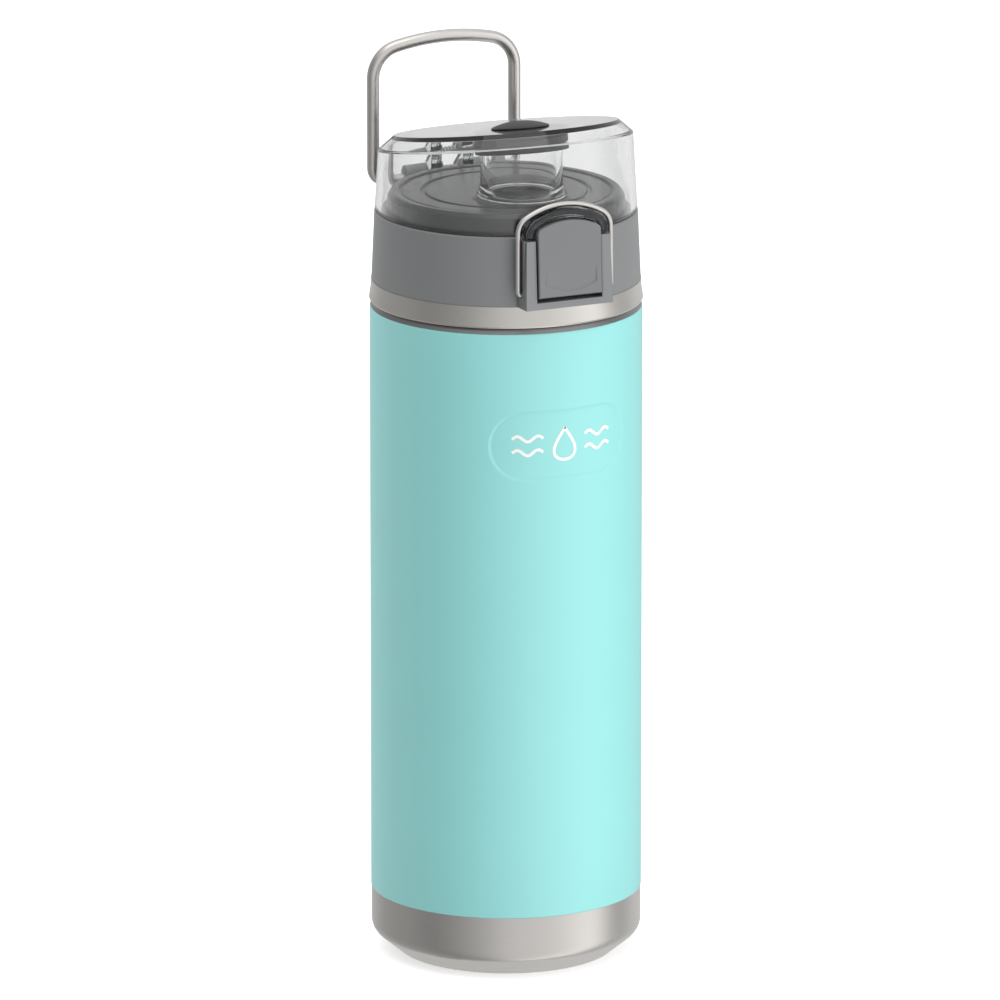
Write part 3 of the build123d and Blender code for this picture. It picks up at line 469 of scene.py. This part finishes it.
def droplet(size, steps=48):
    """A water drop outline: round below, pointed above."""
    points = []
    for k in range(steps):
        a = TURN * k / steps
        points.append((size * sin(a) * sin(a / 2) ** 1.4, size * cos(a)))
    return points


def wave(left, right, up, height=0.8, steps=40):
    """One and a half waves between two places across the panel."""
    return [
        (left + (right - left) * k / steps, up + height * sin(TURN * 1.5 * k / steps))
        for k in range(steps + 1)
    ]


marks = [stroke(droplet(DROP_SIZE), closed=True)]
for up in (-WAVE_UP, WAVE_UP):
    marks.append(stroke(wave(-WAVE_OUT, -WAVE_IN, up)))
    marks.append(stroke(wave(WAVE_IN, WAVE_OUT, up)))
WHITE = surface("white_print", (0.83, 0.84, 0.83), rough=(0.4, 0.5), grain=2600, depth=0.004)
print_mark = joined("painted_mark", marks, weighted=False)
print_mark.data.materials.append(WHITE)
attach(print_mark, "bottle")

# ---------------------------------------------------------------- clear cover
TOP_IN_R = 10.0          # inside this radius the top runs in to the plug's hole
PLUG_HOLE_R = 5.05


def cover_outline(angle):
    """The wall's section at one angle round the bottle, as (x, y, z) points."""
    c, s = cos(angle), sin(angle)

    def shoulder(inset, drop):
        """Where the leaning wall meets the tilted shoulder, closed in on in four steps."""
        r = COVER_R - inset
        for _ in range(4):
            z = on_tilt(COVER_SHOULDER - drop, r * s)
            r = COVER_R - inset - COVER_CONE * (z - COVER_LOW)
        return r, z

    rs, zs = shoulder(0, 0)
    ri, zi = shoulder(COVER_WALL, COVER_DROP)
    flat_in = COVER_FLAT_R - COVER_CORNER
    line = rounded([
        (COVER_R, SEAM_TOP, 0.2),
        (rs, zs, 0.45),
        (COVER_FLAT_R, on_tilt(COVER_TOP, COVER_FLAT_R * s), 0.3),
        (TOP_IN_R, on_tilt(COVER_TOP, TOP_IN_R * s)),
        (TOP_IN_R, on_tilt(COVER_TOP - COVER_WALL, TOP_IN_R * s)),
        (flat_in, on_tilt(COVER_TOP - COVER_WALL, flat_in * s), 0.2),
        (ri, zi, 0.3),
        (COVER_R - COVER_WALL, SEAM_TOP, 0.2),
    ], steps=6)
    out = []
    for r, z in line:
        if r == TOP_IN_R:
            inset = 0 if z > on_tilt(COVER_TOP - COVER_WALL / 2, TOP_IN_R * s) else COVER_WALL
            y = PLUG_Y + PLUG_HOLE_R * s
            out.append((PLUG_HOLE_R * c, y, on_tilt(COVER_TOP - inset, y)))
        else:
            out.append((r * c, r * s, z))
    return out


COVER_SEGMENTS = 256
sections = [cover_outline(TURN * k / COVER_SEGMENTS) for k in range(COVER_SEGMENTS)]
cover_verts = [point for section in sections for point in section]
cover_faces = grid_faces(COVER_SEGMENTS, len(sections[0]))
cover_dome = mesh_piece("cover_dome", cover_verts, cover_faces)
finish_piece(cover_dome, SMOKE, "cover", "cover")

APRON_GAP = 0.4
APRON_W = 2.6
BUTTON_HALF = button_high.x
BUTTON_SIDE = 218.3
BUTTON_TOP = button_high.z
BUTTON_CORNER = 2.0
APRON_CORNER = 5.2
APRON_SIDE_RISE = 1.2    # its outer sides end this far above the button's
inner_arch = arch_points(BUTTON_HALF + APRON_GAP, COVER_LOW, BUTTON_SIDE + APRON_GAP,
                         BUTTON_TOP + APRON_GAP, BUTTON_CORNER + APRON_GAP)
outer_arch = arch_points(BUTTON_HALF + APRON_GAP + APRON_W, COVER_LOW,
                         BUTTON_SIDE + APRON_SIDE_RISE, BUTTON_TOP + APRON_GAP + APRON_W,
                         APRON_CORNER)
APRON = clear("apron_plastic", (0.55, 0.57, 0.58), 620.0)
apron = plate("cover_apron", outer_arch + inner_arch[::-1], -40.0, -35.7, bevel=0.8, segments=5)
finish_piece(apron, APRON, "cover")
# painted shade: a thin black sheet inside the apron's arch, behind the button, so that the gap round the
# button shows dark
apron_shade_sheet = plate("cover_apron_shade_sheet", inner_arch, -37.3, -36.8, bevel=0.1)
finish_piece(apron_shade_sheet, RUBBER, "cover")


KNUCKLE_R = 3.9
KNUCKLE_IN_X = 3.5
KNUCKLE_OUT_X = 7.0
KNUCKLE_ARM = [(37.4, 226.0), (36.9, 227.0), (36.45, 227.0), (36.9, 219.0)]  # up the wall


def knuckle(side):
    """One of the cover's two hinge knuckles, as a section (y, z) run along X."""
    section = [(HINGE.y + KNUCKLE_R * cos(radians(a)), HINGE.z + KNUCKLE_R * sin(radians(a)))
               for a in range(-190, 48, 7)]
    section += KNUCKLE_ARM
    low, high = sorted((side * KNUCKLE_IN_X, side * KNUCKLE_OUT_X))
    count = len(section)
    verts = [(low, y, z) for y, z in section] + [(high, y, z) for y, z in section]
    faces = [tuple(range(count)), tuple(range(2 * count - 1, count - 1, -1))]
    faces += [(k, (k + 1) % count, count + (k + 1) % count, count + k) for k in range(count)]
    return verts, faces


knuckles = joined("cover_knuckles", [knuckle(-1), knuckle(1)], weighted=False)
soften(knuckles, 0.3)
finish_piece(knuckles, SMOKE, "cover")

# ---------------------------------------------------------------- push button
BUTTON_LOW = button_low.z
BUTTON_BACK = -37.9
BUTTON_FRONT = button_low.y - 0.05
BUTTON_LEAN = 1.0        # the front leans back this far over its height
BUTTON_SOFT = 0.45       # rounding of the front's edge
THUMB_HALF = 7.9         # the thumb mark: a U, this far to each side
THUMB_LOW = 202.9        # its height at the sides
THUMB_SAG = 2.1          # its middle hangs this much lower
THUMB_DEPTH = 0.22
THUMB_EDGE = 0.5         # it reaches its depth over this distance
THUMB_GROOVE = 0.26      # extra depth of the fine line round it
THUMB_LINE_IN = 0.1      # the line's middle, and how wide it is
THUMB_LINE_W = 0.22
THUMB_FADE = (203.5, 209.0)  # it fades out between these heights
HOOK_X = 6.0
HOOK_LOW = 217.0
HOOK_TOP = 218.6


def front_y(z):
    """The front of the button at a height."""
    return BUTTON_FRONT + BUTTON_LEAN * (z - BUTTON_LOW) / (BUTTON_TOP - BUTTON_LOW)


rise = BUTTON_TOP - BUTTON_SIDE
bow_r = (BUTTON_HALF ** 2 + rise ** 2) / (2 * rise)
bow_z = BUTTON_TOP - bow_r


def edge_distance(x, z):
    """Rough distance inside the button's outline."""
    x = abs(x)
    return min(BUTTON_HALF - x, z - BUTTON_LOW, bow_r - hypot(x, z - bow_z))


def thumb(x, z):
    """The pressed thumb mark: a U that fades out upwards."""
    sag = THUMB_SAG * (1 - (x / THUMB_HALF) ** 2)
    inside = min(THUMB_HALF - abs(x), z - (THUMB_LOW - sag))
    line = THUMB_GROOVE * exp(-((inside - THUMB_LINE_IN) / THUMB_LINE_W) ** 2)
    press = THUMB_DEPTH * smooth(0.0, THUMB_EDGE, inside) + line
    return press * (1 - smooth(*THUMB_FADE, z))


def button_mesh():
    """The button: a grid of points over its front, the same grid on its back, and a rim."""
    columns, levels = 128, 160
    verts, faces = [], []
    outline = arch_points(BUTTON_HALF, BUTTON_LOW, BUTTON_SIDE, BUTTON_TOP, BUTTON_CORNER,
                          steps=10)

    def half_at(z):
        best = 0.0
        for (x0, z0), (x1, z1) in zip(outline, outline[1:]):
            if x0 >= 0 and min(z0, z1) <= z <= max(z0, z1) and z1 != z0:
                best = max(best, x0 + (x1 - x0) * (z - z0) / (z1 - z0))
        return best

    heights = [BUTTON_LOW + (BUTTON_TOP - 0.02 - BUTTON_LOW) * sin(pi / 2 * k / levels) ** 0.9
               for k in range(levels + 1)]
    for z in heights:
        half = max(half_at(z), 0.05)
        for c in range(columns + 1):
            x = half * sin(pi / 2 * (2 * c / columns - 1))
            gap = min(max(edge_distance(x, z), 0.0), BUTTON_SOFT)
            soft = BUTTON_SOFT - (BUTTON_SOFT ** 2 - (BUTTON_SOFT - gap) ** 2) ** 0.5
            verts.append((x, front_y(z) + soft + thumb(x, z), z))
    for z in heights:
        half = max(half_at(z), 0.05)
        for c in range(columns + 1):
            x = half * sin(pi / 2 * (2 * c / columns - 1))
            verts.append((x, BUTTON_BACK, z))
    wide = columns + 1
    size = wide * (levels + 1)
    for r in range(levels):
        for c in range(columns):
            k = r * wide + c
            faces.append((k, k + 1, k + wide + 1, k + wide))
            faces.append((size + k, size + k + wide, size + k + wide + 1, size + k + 1))
    rim = list(range(wide)) + [r * wide + columns for r in range(1, levels + 1)]
    rim += [levels * wide + c for c in range(columns - 1, -1, -1)]
    rim += [r * wide for r in range(levels - 1, 0, -1)]
    for a, b in zip(rim, rim[1:] + rim[:1]):
        faces.append((b, a, size + a, size + b))
    return verts, faces


button = mesh_piece("button", *button_mesh(), sharp=50, weighted=False)
finish_piece(button, BUTTON, "button", "push_button")
hook_outline = [(-HOOK_X, HOOK_LOW), (HOOK_X, HOOK_LOW), (HOOK_X, HOOK_TOP), (-HOOK_X, HOOK_TOP)]
hook = plate("button_hook", hook_outline, -38.4, -36.9, bevel=0.2)
finish_piece(hook, BUTTON, "button")

# CAD nodes that are shown as they are, with their edges softened
for name, width in (("lid_housing", 0.35), ("thread_liner", 0.2), ("base_disc", 0.2)):
    part = frame["nodes"][name]
    weld = part.modifiers.new("Weld", "WELD")
    weld.merge_threshold = 0.005 * MM
    soften(part, width)

# ---------------------------------------------------------------- deck and spout
deck_top = deck_high.z
deck_r = deck_high.x
deck_floor = deck_top - 0.3
DECK_HOLE_R = 11.55
SPOUT_R = 11.5
SPOUT_BORE_R = 9.8
SPOUT_FLANGE_R = 13.6
SPOUT_FLANGE_T = 1.6
SPOUT_PLAIN_Z = deck_top + 6.5  # above this the spout is a plain tube
SPOUT_BLANK_Z = 240.0    # its top before it is squeezed to the tilted rim
# a collar round the spout, a groove, a step and the raised outer lip
deck_outline = rounded([
    (DECK_HOLE_R, deck_top + 0.3, 0.3), (13.4, deck_top + 0.3, 0.5), (14.2, deck_floor, 0.3),
    (22.6, deck_floor, 0.2), (22.9, deck_top - 0.9, 0.15), (23.9, deck_top - 0.9, 0.15),
    (24.2, deck_floor, 0.2),
    (deck_r - 4.6, deck_floor, 0.2), (deck_r - 4.3, deck_top - 0.7, 0.1),
    (deck_r - 3.7, deck_top - 0.7, 0.1), (deck_r - 3.4, deck_top - 0.1, 0.3),
    (deck_r - 2.6, deck_top, 0.5), (deck_r - 1.4, deck_top, 0.6), (deck_r - 0.4, deck_top - 1.2, 0.6),
    # the deck's dark lip at the seam is painted shade: it makes the seam under the cover show as a dark
    # line
    (deck_r, SEAM_TOP + 0.8), (deck_r, SEAM_TOP + 0.08), (SEAM_SHADE_R, SEAM_TOP + 0.05, 0.1),
    (SEAM_SHADE_R, deck_low.z, 0.1), (30.0, deck_low.z), (30.0, deck_top - 2.0),
    (DECK_HOLE_R, deck_top - 2.0),
], steps=4)


def off_centre(points, blend_from, blend_to, centre_y, segments=192):
    """Turned points whose centre slides from (0, centre_y) at small radii to the axis."""
    verts = []
    for radius, z in points:
        t = 1 - smooth(blend_from, blend_to, radius)
        for k in range(segments):
            a = TURN * k / segments
            verts.append((radius * cos(a), centre_y * t + radius * sin(a), z))
    return verts, grid_faces(len(points), segments)


deck = mesh_piece("deck", *off_centre(deck_outline, 15.0, 22.0, spout_y))
finish_piece(deck, DECK, "lid", "lid_deck")

# the spout flares where it meets the deck and is cut along the cover's tilt
rim_z = on_tilt(COVER_TOP, PLUG_Y) - RIM_DEPTH * cos(TILT_ANGLE)
spout_outline = rounded([
    (SPOUT_BORE_R, spout_low.z, 0.3), (SPOUT_FLANGE_R, spout_low.z, 0.3),
    (SPOUT_FLANGE_R, spout_low.z + SPOUT_FLANGE_T, 0.3),
    (SPOUT_R, spout_low.z + SPOUT_FLANGE_T, 0.3), (SPOUT_R, deck_top + 0.3),
    (12.9, deck_top + 0.35, 0.15), (12.5, deck_top + 1.1, 0.6), (11.7, deck_top + 3.4, 1.4),
    (SPOUT_R, SPOUT_PLAIN_Z), (SPOUT_R, SPOUT_BLANK_Z, 0.55), (9.9, SPOUT_BLANK_Z, 0.55),
    (9.9, deck_top + 4.0), (9.6, deck_top + 1.6, 0.8), (9.5, deck_top + 0.5, 0.3),
    (SPOUT_BORE_R, deck_top - 0.6, 0.3),
], steps=6)


def spout_shape(radius, z, angle):
    """Squeezes the straight part so its rim follows the tilt."""
    start = SPOUT_PLAIN_Z
    if z <= start:
        return radius, z
    end = rim_z - radius * sin(angle) * TILT
    return radius, start + (z - start) * (end - start) / (SPOUT_BLANK_Z - start)


spout = lathe("spout_tube", spout_outline, centre=(0, spout_y), shape=spout_shape)
finish_piece(spout, CLEAR, "lid", "spout")
# a small ring at the rim inside the spout's foot; its pale grey colour is a painted highlight of that rim
RIM = surface("rim_glint_grey", (0.62, 0.63, 0.63), rough=(0.15, 0.25), grain=900, depth=0.003)
ring_section = [(9.15 + 0.3 * cos(TURN * k / 12), deck_top + 0.35 + 0.3 * sin(TURN * k / 12))
                for k in range(12)]
spout_rim = lathe("spout_rim_glint", ring_section, centre=(0, spout_y), weighted=False)
finish_piece(spout_rim, RIM, "lid")

# ---------------------------------------------------------------- plug
PLUG_HEAD_R = 8.2
PLUG_HEAD_H = 2.0
PLUG_DOME = 1.6          # the head's top falls by this much towards its edge
PLUG_STEM_R = 5.0
PLUG_R = 13.2
PLUG_SKIRT_IN_R = 12.25
PLUG_BOSS_R = 9.3
PLUG_LOW = -6.6
AXIS_R = 0.02            # radius of the tiny hole on the axis
GROOVE_TOPS = (-2.6, -3.65)
GROOVE_SHAPE = ((0.0, 0.0), (0.25, 0.15), (0.25, 0.4), (0.0, 0.55))  # (inwards, down)
# heights are from the cover's top face, along the plug's own axis
plug_frame = Matrix.Translation((0, PLUG_Y, on_tilt(COVER_TOP, PLUG_Y))) @ Matrix.Rotation(
    -TILT_ANGLE, 4, "X")
plug_dome = [(PLUG_HEAD_R * k / 10, PLUG_HEAD_H - PLUG_DOME * (k / 10) ** 2)
             for k in range(1, 10)]
plug_grooves = [(PLUG_R - cut, top - down) for top in GROOVE_TOPS for cut, down in GROOVE_SHAPE]
plug_outline = (
    [(AXIS_R, PLUG_HEAD_H)] + plug_dome
    + [(7.9, 0.48), (8.13, 0.36), (PLUG_HEAD_R, 0.2), (8.12, 0.02), (PLUG_STEM_R, 0.02),
       (PLUG_STEM_R, -1.82), (12.9, -1.82), (PLUG_R, -2.1)]
    + plug_grooves
    + [(PLUG_R, -6.3), (13.0, PLUG_LOW), (12.5, PLUG_LOW), (PLUG_SKIRT_IN_R, -6.35),
       (PLUG_SKIRT_IN_R, -RIM_DEPTH), (PLUG_BOSS_R, -RIM_DEPTH), (PLUG_BOSS_R, -5.9),
       (8.9, -6.2), (AXIS_R, -6.2)]
)
plug = lathe("plug", plug_outline, sharp=40)
plug.data.transform(Matrix.Scale(MM, 4) @ plug_frame @ Matrix.Scale(1 / MM, 4))
finish_piece(plug, RUBBER, "cover", "spout_plug")

# ---------------------------------------------------------------- stage, light, camera
CAMERA_AZIMUTH = -25.5
CAMERA_RISE = 14.357
CAMERA_DISTANCE = 3.6
AIM = Vector((0, 0, 0.13078))
FLOOR = 6.0              # metres from the middle of the floor to its sides
FLOOR_GLOW = 0.50        # added where the camera sees the floor, so that it looks pale

floor_mesh = bpy.data.meshes.new("floor")
floor_corners = [(-FLOOR, -FLOOR, 0), (FLOOR, -FLOOR, 0), (FLOOR, FLOOR, 0), (-FLOOR, FLOOR, 0)]
floor_mesh.from_pydata(floor_corners, [], [(0, 1, 2, 3)])
floor = bpy.data.objects.new("floor", floor_mesh)
bpy.context.scene.collection.objects.link(floor)
floor_finish, tree = blank("floor")
matt = node(tree, "ShaderNodeBsdfDiffuse", {"Color": (0.80, 0.80, 0.80, 1)})
path = node(tree, "ShaderNodeLightPath")
shown = node(tree, "ShaderNodeMath", {0: path.outputs["Is Camera Ray"], 1: FLOOR_GLOW},
             operation="MULTIPLY")
lift = node(tree, "ShaderNodeEmission", {"Color": (1, 1, 1, 1), "Strength": shown.outputs[0]})
both = node(tree, "ShaderNodeAddShader", {0: matt.outputs[0], 1: lift.outputs[0]})
node(tree, "ShaderNodeOutputMaterial", {"Surface": both.outputs[0]})
floor.data.materials.append(floor_finish)
floor.visible_glossy = False
floor.visible_diffuse = False

# A soft studio: one brightness for each direction round the bottle, counted from the camera
# in degrees with the right-hand side positive; overhead it fades to an even top light.
STUDIO_SOFT = [
    (d, 0.72 * (1 + 0.95 * sin(2 * radians(d)))) for d in range(-180, 181, 15)
]
STUDIO = [
    (-180, 0.74), (-150, 0.70), (-133, 0.50), (-113, 0.42), (-90, 0.41), (-66, 0.26),
    (-47, 0.38), (-29, 0.46), (-12, 0.68), (5, 0.91), (22, 0.90), (40, 0.96), (58, 1.14),
    (80, 1.62), (90, 1.20), (98, 0.46), (118, 0.52), (138, 0.90), (180, 0.74),
]
TOP_LIGHT = 0.9
SOFT_GAIN = 1.5          # the soft light is this much brighter than the mirrored studio
world = bpy.data.worlds.new("studio")
bpy.context.scene.world = world
world.use_nodes = True
tree = world.node_tree
tree.nodes.clear()
ray = node(tree, "ShaderNodeTexCoord")
turn = node(tree, "ShaderNodeMapping", {
    "Vector": ray.outputs["Generated"], "Rotation": (0, 0, radians(-CAMERA_AZIMUTH)),
})
way = node(tree, "ShaderNodeSeparateXYZ", {0: turn.outputs[0]})
front = node(tree, "ShaderNodeMath", {0: way.outputs["Y"], 1: -1.0}, operation="MULTIPLY")
angle = node(tree, "ShaderNodeMath", {0: way.outputs["X"], 1: front.outputs[0]},
             operation="ARCTAN2")
share = node(tree, "ShaderNodeMapRange", {
    "Value": angle.outputs[0], "From Min": -pi, "From Max": pi, "To Min": 0.0, "To Max": 1.0,
})


def studio_ramp(levels):
    """Brightness round the bottle as a colour ramp; it is halved, because a ramp stops at 1."""
    ramp = node(tree, "ShaderNodeValToRGB", {0: share.outputs[0]})
    stops = ramp.color_ramp.elements
    while len(stops) < len(levels):
        stops.new(0.5)
    for stop, (degrees, level) in zip(stops, levels):
        stop.position = (degrees + 180) / 360
        stop.color = (level / 2, level / 2, level / 2, 1)
    return ramp.outputs[0]


path = node(tree, "ShaderNodeLightPath")
side_light = node(tree, "ShaderNodeMix", {
    "Factor": path.outputs["Is Diffuse Ray"], "A": studio_ramp(STUDIO),
    "B": studio_ramp(STUDIO_SOFT),
}, data_type="RGBA")
high = node(tree, "ShaderNodeMapRange", {
    "Value": way.outputs["Z"], "From Min": 0.55, "From Max": 0.9, "To Min": 0.0, "To Max": 1.0,
})
level = node(tree, "ShaderNodeMix", {
    "Factor": high.outputs[0], "A": side_light.outputs["Result"],
    "B": (TOP_LIGHT / 2,) * 3 + (1,),
}, data_type="RGBA")
seen = node(tree, "ShaderNodeBackground", {"Color": (1, 1, 1, 1), "Strength": 1.0})
lit = node(tree, "ShaderNodeMapRange", {
    "Value": path.outputs["Is Diffuse Ray"], "To Min": 2.0, "To Max": 2.0 * SOFT_GAIN,
})
fill = node(tree, "ShaderNodeBackground", {
    "Color": level.outputs["Result"], "Strength": lit.outputs[0],
})
mix = node(tree, "ShaderNodeMixShader", {
    0: path.outputs["Is Camera Ray"], 1: fill.outputs[0], 2: seen.outputs[0],
})
node(tree, "ShaderNodeOutputWorld", {"Surface": mix.outputs[0]})


def around(azimuth, rise, distance, aim=AIM):
    """A point seen from the object at this azimuth from the camera's own, in degrees."""
    a, e = radians(CAMERA_AZIMUTH + azimuth), radians(rise)
    return aim + Vector((sin(a) * cos(e), -cos(a) * cos(e), sin(e))) * distance


def softbox(name, azimuth, rise, distance, width, height, power):
    """A rectangular lamp that faces the bottle."""
    data = bpy.data.lights.new(name, "AREA")
    data.shape = "RECTANGLE"
    data.size, data.size_y = width, height
    data.energy = power
    lamp = bpy.data.objects.new(name, data)
    bpy.context.scene.collection.objects.link(lamp)
    lamp.location = around(azimuth, rise, distance)
    lamp.rotation_mode = "QUATERNION"
    lamp.rotation_quaternion = (lamp.location - AIM).to_track_quat("Z", "Y")
    return lamp


softbox("top", 20, 80, 1.3, 0.8, 0.8, 2.0)

camera_data = bpy.data.cameras.new("camera")
camera_data.sensor_width = 36.0
camera_data.lens = 457.59
camera_data.shift_x = -0.00607
camera_data.clip_end = 100.0
camera = bpy.data.objects.new("camera", camera_data)
bpy.context.scene.collection.objects.link(camera)
camera.location = around(0, CAMERA_RISE, CAMERA_DISTANCE)
camera.rotation_mode = "QUATERNION"
camera.rotation_quaternion = (camera.location - AIM).to_track_quat("Z", "Y")
bpy.context.scene.camera = camera
bpy.context.scene.view_settings.view_transform = "Standard"
